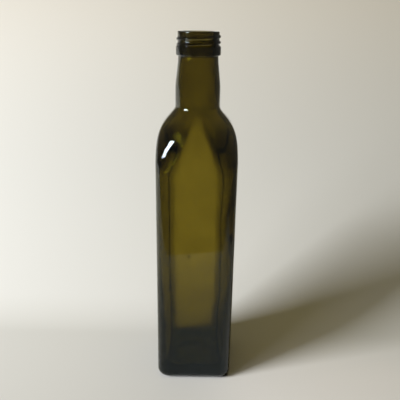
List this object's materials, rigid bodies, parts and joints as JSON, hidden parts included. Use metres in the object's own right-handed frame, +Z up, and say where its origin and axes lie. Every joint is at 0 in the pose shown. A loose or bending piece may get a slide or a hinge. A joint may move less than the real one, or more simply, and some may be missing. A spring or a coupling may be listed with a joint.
{
  "type": "glass bottle",
  "caption": "Empty dark green glass bottle with a square body, arched shoulders, a round neck and an open screw-thread mouth above a collar.",
  "frame": {"origin": "middle of the square foot, on the surface that the bottle stands on", "axes": "+Z up through the middle of the mouth, -Y out of the front face, +X to the right seen from the front"},
  "size_m": [0.058, 0.058, 0.264],
  "materials": {
    "glass": "smooth moulded glass, dark olive green, clear and glossy"
  },
  "bodies": {
    "root": {"bottle": "glass"}
  },
  "joints": []
}
